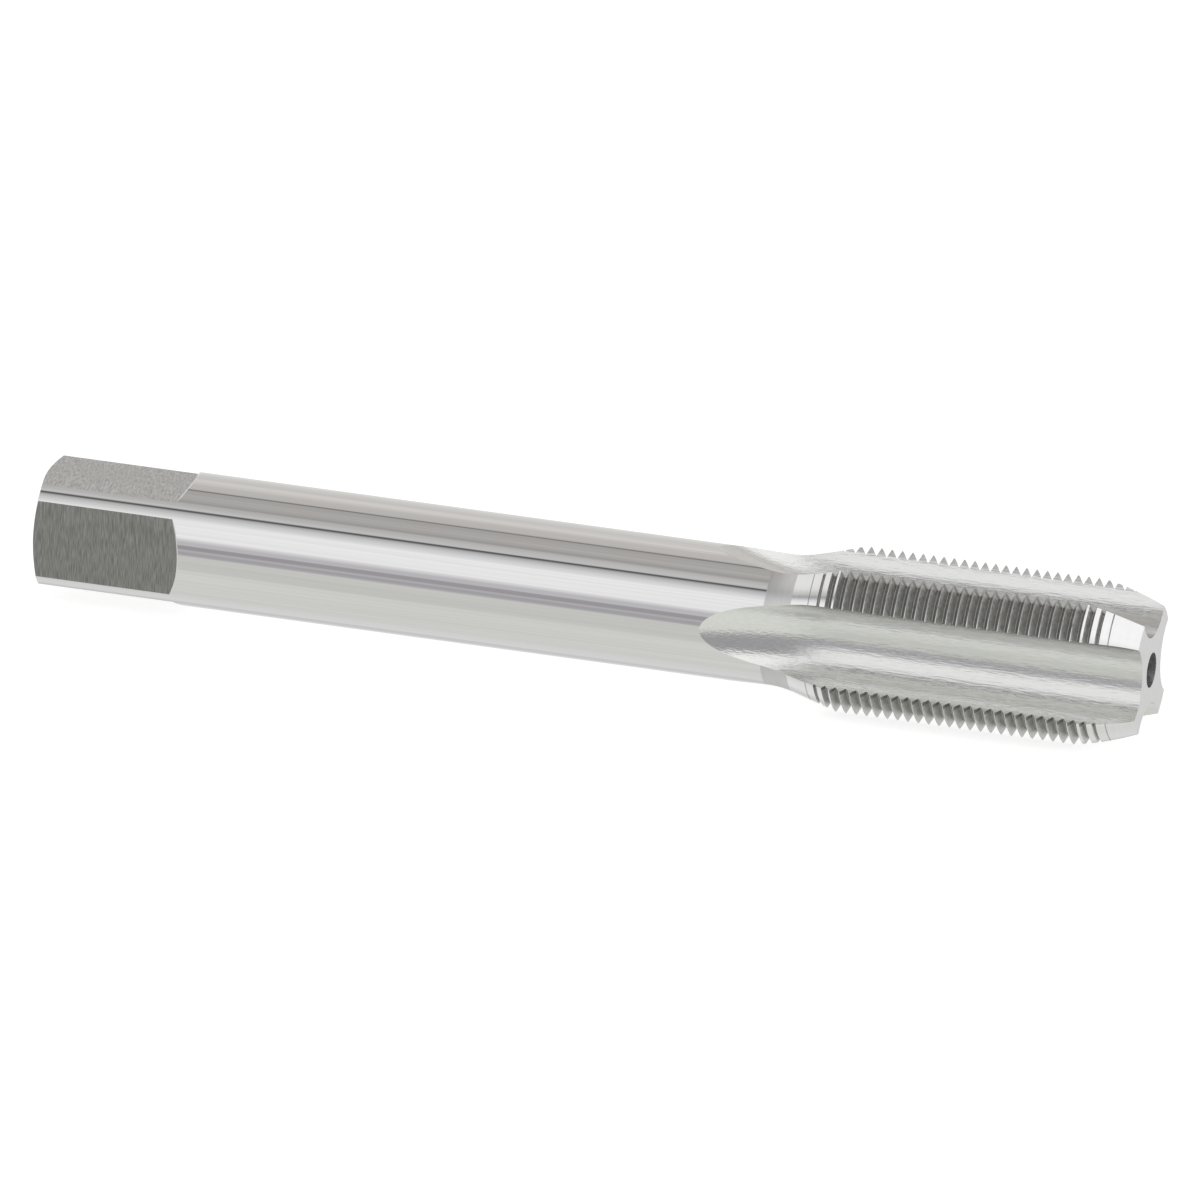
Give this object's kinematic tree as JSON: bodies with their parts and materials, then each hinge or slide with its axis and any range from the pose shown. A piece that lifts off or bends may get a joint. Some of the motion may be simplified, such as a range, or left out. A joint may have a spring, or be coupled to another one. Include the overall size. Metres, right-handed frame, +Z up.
{
  "type": "thread tap",
  "caption": "Straight-fluted hand tap for a metric fine thread, with a plain ground shank, a driving square and a tapered lead.",
  "frame": {"origin": "on the surface the tap lies on, under the middle of its length", "axes": "+X along the tap towards its cutting end, +Z up; the flutes face up, down and to both sides"},
  "size_m": [0.08, 0.0104, 0.0104],
  "materials": {
    "ground_steel": "ground"
  },
  "bodies": {
    "root": {"thread_tap": "ground_steel"}
  },
  "joints": []
}
